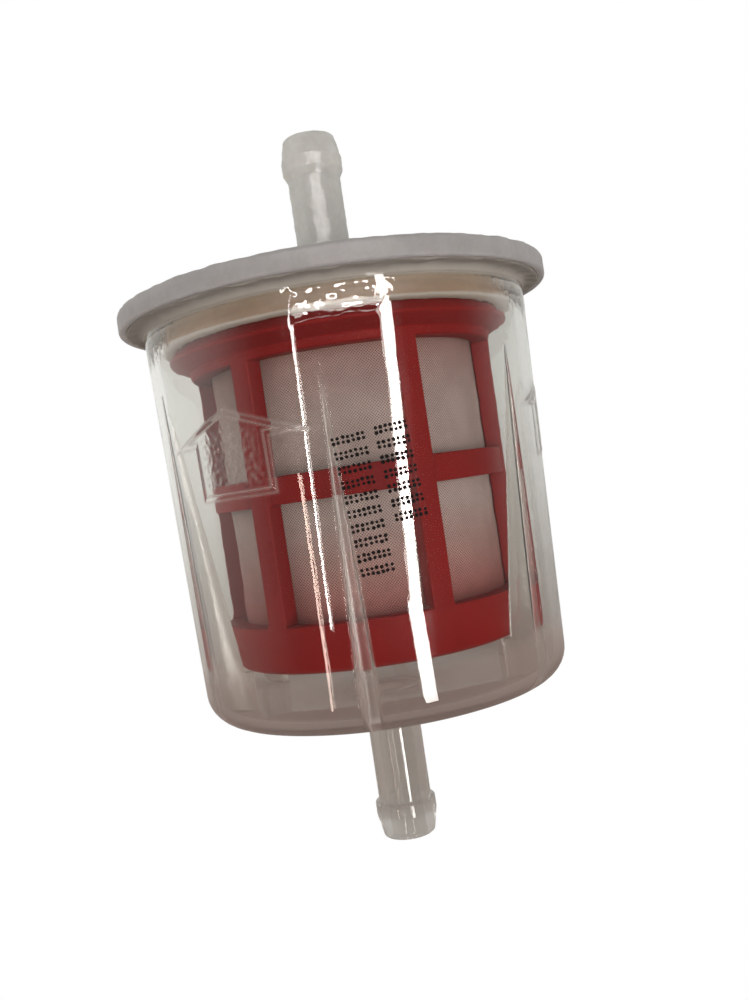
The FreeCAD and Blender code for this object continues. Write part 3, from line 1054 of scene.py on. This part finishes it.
def add_strip(camera, name, azimuth, width, low, high, radiance, colour, lean=0.0, lights="both"):
    """A strip light that faces the filter, leans to the right and stays with the camera.

    Its width, and the heights it runs between, are in metres. It lights matt surfaces, shows in
    glossy ones, or does both."""
    reach = 0.45
    angle = math.radians(azimuth)
    data = bpy.data.lights.new(name, "AREA")
    data.shape = "RECTANGLE"
    data.size = width
    data.size_y = high - low
    data.energy = radiance * math.pi * data.size * data.size_y
    data.color = colour
    strip = bpy.data.objects.new(name, data)
    bpy.context.scene.collection.objects.link(strip)
    spot = Vector((reach * math.sin(angle), -reach * math.cos(angle), (low + high) / 2))
    facing = Vector((-spot.x, -spot.y, 0)).normalized()
    strip.matrix_world = (
        Matrix.Translation(spot)
        @ facing.to_track_quat("-Z", "Y").to_matrix().to_4x4()
        @ Matrix.Rotation(math.radians(-lean), 4, "Z")
    )
    strip.visible_glossy = lights != "matt"
    strip.visible_transmission = lights != "matt"
    strip.visible_diffuse = lights != "gloss"
    bpy.context.view_layer.update()
    world = strip.matrix_world.copy()
    strip.parent = camera
    strip.matrix_parent_inverse = camera.matrix_world.inverted()
    strip.matrix_world = world


def make_lights(camera):
    """Upright strips joined by a bar above, a bar for the outlet tail, and soft side fills."""
    warm = (1.0, 0.95, 0.92)
    rosy = (1.0, 0.75, 0.65)
    add_strip(camera, "strip_right", 26.0, 0.046, -0.05, 0.160, 28.0, warm, 16.0)
    add_strip(camera, "strip_right_low", 24.0, 0.064, -0.30, -0.03, 28.0, warm, -8.0)
    add_strip(camera, "strip_left", -25.5, 0.009, -0.045, 0.156, 32.0, warm, 10.0)
    add_strip(camera, "strip_low_left", -34.0, 0.010, -0.18, 0.045, 18.0, rosy, 8.0)
    add_strip(camera, "bar_top", 1.5, 0.40, 0.151, 0.156, 80.0, warm, lights="gloss")
    add_strip(camera, "bar_tail", 5.0, 0.46, 0.199, 0.32, 15.0, warm, lights="gloss")
    add_strip(camera, "fill_left", -80.0, 0.30, -0.10, 0.30, 3.0, warm, lights="matt")
    add_strip(camera, "fill_right", 85.0, 0.30, -0.10, 0.30, 1.5, warm, lights="matt")


def make_world():
    """A bright backdrop behind the filter and a dim room in front, both turned with the camera.

    The backdrop darkens downwards and to the right. The camera itself sees plain white."""
    world = bpy.data.worlds.new("studio")
    bpy.context.scene.world = world
    world.use_nodes = True
    tree = world.node_tree
    tree.nodes.clear()
    direction = add(tree, "ShaderNodeTexCoord").outputs["Generated"]
    turned = add(
        tree, "ShaderNodeVectorTransform", vector_type="VECTOR", convert_from="WORLD",
        convert_to="CAMERA", Vector=direction,
    )
    parts = add(tree, "ShaderNodeSeparateXYZ", Vector=turned.outputs[0])
    depth = calculate(tree, "MULTIPLY_ADD", parts.outputs["X"], -0.3, parts.outputs["Z"])
    is_behind = between(tree, depth, -0.55, 0.25, smooth=True)
    level = add(tree, "ShaderNodeSeparateXYZ", Vector=direction)
    rise = between(tree, level.outputs["Z"], -0.32, 0.10, smooth=True)
    backdrop = ramp(
        tree, rise, [(0.0, (0.35, 0.29, 0.26)), (0.5, (0.56, 0.525, 0.49)), (1.0, (0.92, 0.92, 0.885))]
    )
    sideways = between(tree, parts.outputs["X"], -0.3, 0.15)
    falloff = ramp(tree, sideways, [(0.0, grey(1.0)), (1.0, grey(0.79))])
    shaded = mix_colours(tree, "MULTIPLY", 1.0, backdrop, falloff)
    room = mix_colours(tree, "MIX", is_behind, (0.07, 0.066, 0.064), shaded)
    path = add(tree, "ShaderNodeLightPath")
    seen = mix_colours(tree, "MIX", path.outputs["Is Camera Ray"], room, grey(1.0))
    glow = add(tree, "ShaderNodeBackground", Color=seen)
    add(tree, "ShaderNodeOutputWorld", Surface=glow.outputs[0])


def make_floor():
    """Plain pale floor, seen only by the camera so that it throws no cast on the clear bowl."""
    half, gap = 3.0, 0.0002
    level = TAIL_END * MM - gap
    sides = ((-half, -half), (half, -half), (half, half), (-half, half))
    mesh = bpy.data.meshes.new("floor")
    mesh.from_pydata([(x, y, level) for x, y in sides], [], [(0, 1, 2, 3)])
    floor = bpy.data.objects.new("floor", mesh)
    bpy.context.scene.collection.objects.link(floor)
    material, tree = new_material("floor_white")
    glow = add(tree, "ShaderNodeEmission", Color=(1, 1, 1, 1), Strength=1.0)
    finish_material(tree, glow.outputs[0])
    mesh.materials.append(material)
    for ray in ("diffuse", "glossy", "transmission", "shadow", "volume_scatter"):
        setattr(floor, "visible_" + ray, False)


def set_looks():
    """Enough light bounces for thick clear walls, and plain display colours."""
    scene = bpy.context.scene
    scene.view_settings.view_transform = "Standard"
    scene.cycles.max_bounces = 20
    scene.cycles.transmission_bounces = 20
    scene.cycles.glossy_bounces = 8
    scene.cycles.diffuse_bounces = 4
    scene.cycles.transparent_max_bounces = 32
    scene.cycles.caustics_refractive = False
    scene.cycles.caustics_reflective = False


# ---------------------------------------------------------------- assembly

clear = clear_plastic()
milky = milky_plastic()
red = red_plastic()
weave = woven_mesh()

for piece, node, slot in (
    (make_bowl(clear), "bowl", "clear_plastic"),
    (make_lid(milky), "lid", "milky_plastic"),
    (make_cage(red), "strainer_cage", "red_plastic"),
    (make_sleeve(weave), "strainer_mesh", "woven_mesh"),
):
    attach(piece, BODY)
    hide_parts(node)
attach(make_ink(ink()), BODY)

camera = make_camera()
make_lights(camera)
make_world()
make_floor()
set_looks()
